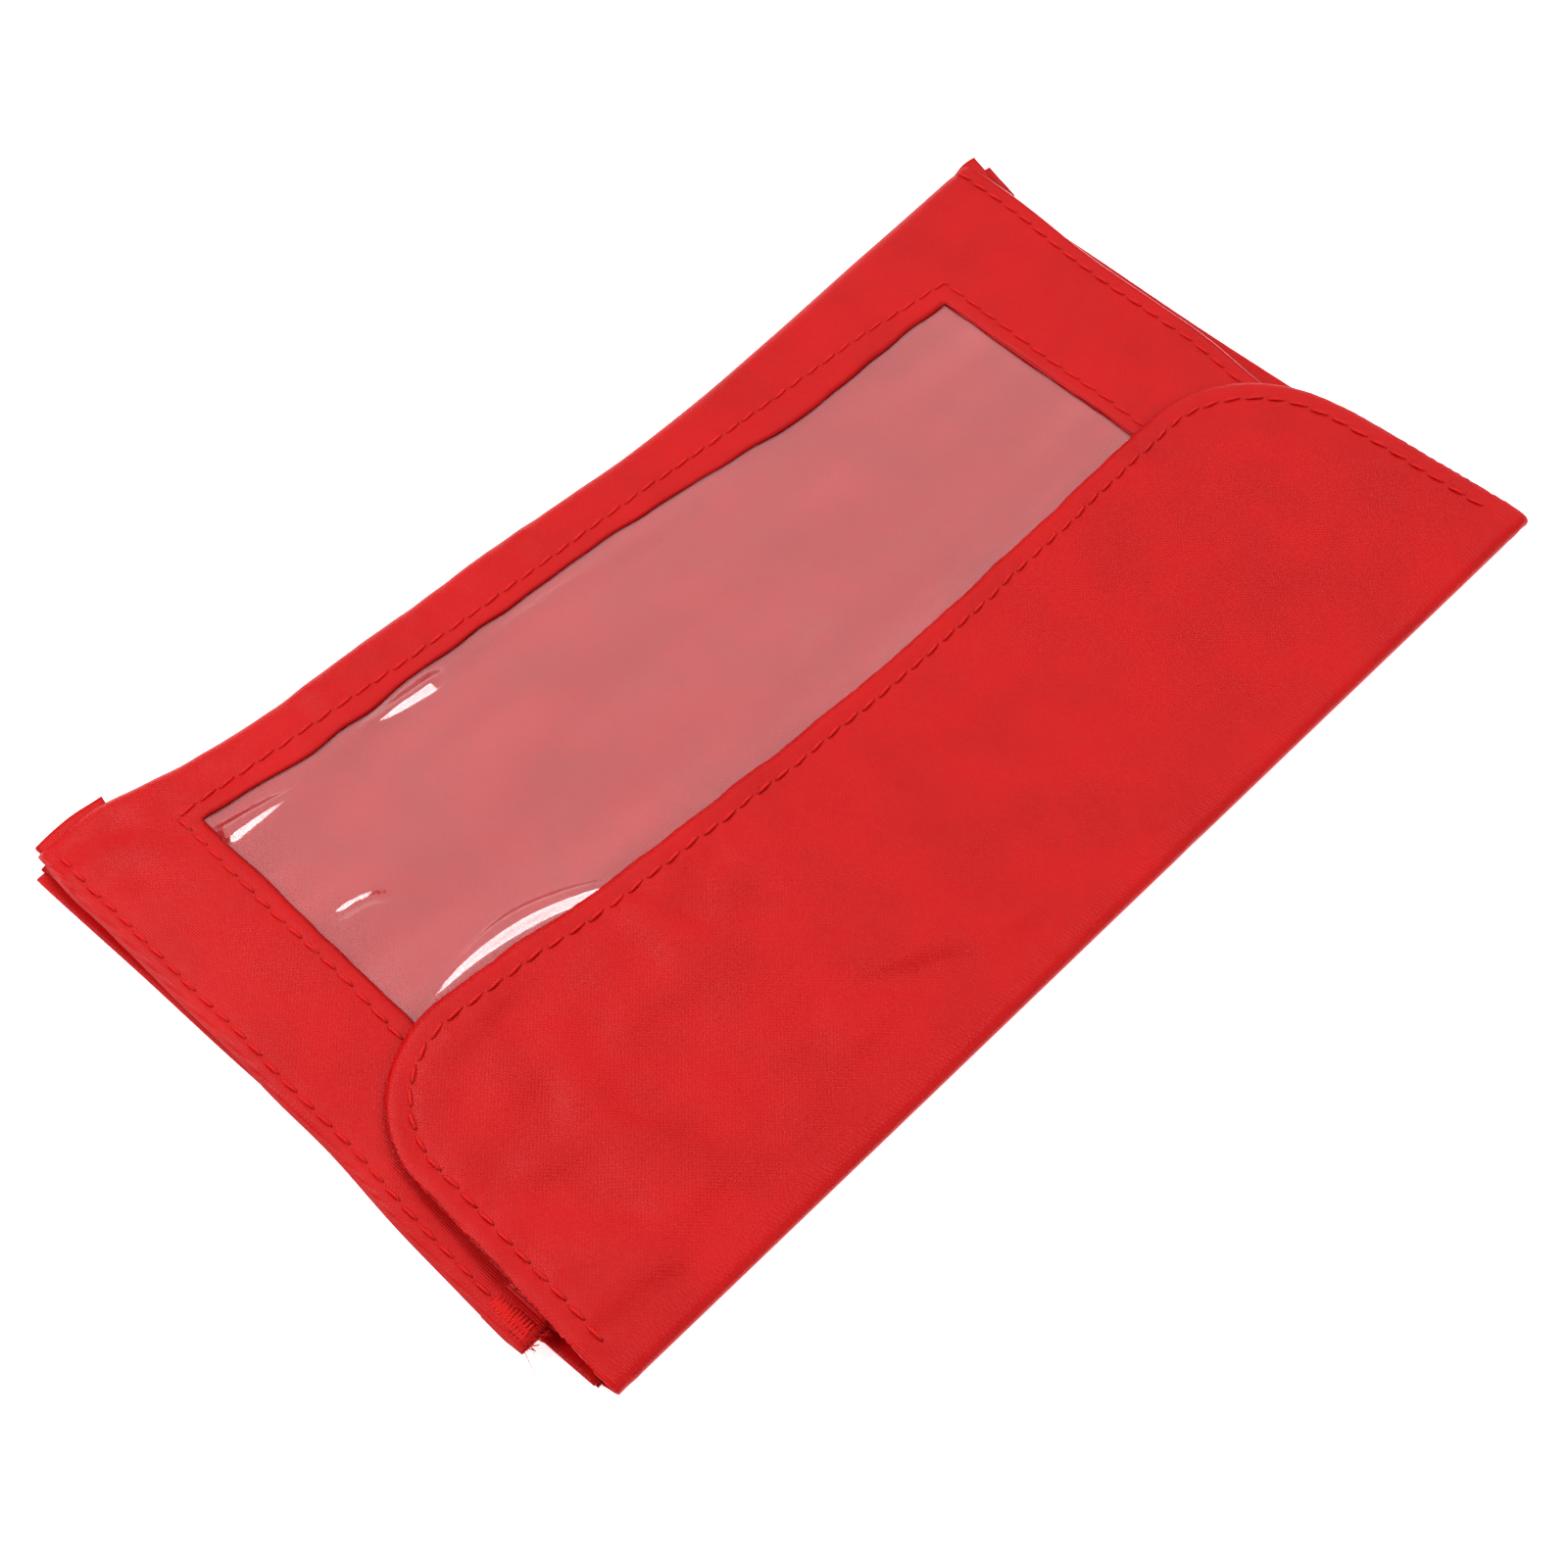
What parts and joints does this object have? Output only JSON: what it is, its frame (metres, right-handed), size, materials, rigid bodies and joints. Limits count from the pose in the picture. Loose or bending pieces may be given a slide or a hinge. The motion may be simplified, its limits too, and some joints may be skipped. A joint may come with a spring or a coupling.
{
  "type": "fire blanket pouch",
  "caption": "Soft flat pouch of a fire blanket: red coated cloth, clear front window, stitched side gussets and a turn-over flap.",
  "frame": {"origin": "centre of the footprint of the closed pouch, on the surface it lies on", "axes": "+X along the pouch's width, +Y towards its closed bottom, +Z out of its front"},
  "size_m": [0.25, 0.144, 0.0098],
  "materials": {
    "red_coated_cloth": "satin coated weave",
    "red_lining": "matte weave",
    "clear_film": "clear glossy",
    "red_hook_and_loop": "matte pile",
    "red_thread": "satin thread"
  },
  "bodies": {
    "pouch": {"back_panel": "red_coated_cloth", "left_back_seam": "red_coated_cloth", "right_back_seam": "red_coated_cloth", "bottom_fold": "red_coated_cloth", "flap_fold": "red_coated_cloth", "left_lower_gusset": "red_coated_cloth", "right_lower_gusset": "red_coated_cloth"},
    "front": {"front_panel": "red_coated_cloth", "mouth_hem": "red_coated_cloth", "left_front_seam": "red_coated_cloth", "right_front_seam": "red_coated_cloth", "left_seam_ear": "red_coated_cloth", "right_seam_ear": "red_coated_cloth", "left_upper_gusset": "red_coated_cloth", "right_upper_gusset": "red_coated_cloth", "window_film": "clear_film", "loop_tape": "red_hook_and_loop", "window_stitching": "red_thread", "left_seam_stitching": "red_thread", "right_seam_stitching": "red_thread", "left_mouth_bartack": "red_thread", "right_mouth_bartack": "red_thread", "hem_stitching": "red_thread"},
    "flap": {"flap_outer": "red_coated_cloth", "flap_lining": "red_lining", "hook_tape": "red_hook_and_loop", "flap_stitching": "red_thread"}
  },
  "joints": [
    {"name": "flap_open", "type": "hinge", "parent": "pouch", "child": "flap", "pos_m": [0, -0.06735, 0.00465], "axis": [1, 0, 0], "range_deg": [0, 180], "deforming": ["flap_fold"]},
    {"name": "mouth_open", "type": "hinge", "parent": "pouch", "child": "front", "pos_m": [0, 0.069, 0.003], "axis": [-1, 0, 0], "range_deg": [0, 9], "deforming": ["bottom_fold"]}
  ],
  "couplings": [
    {"joint": "mouth_open", "follows": "flap_open", "ratio": 0.05}
  ]
}
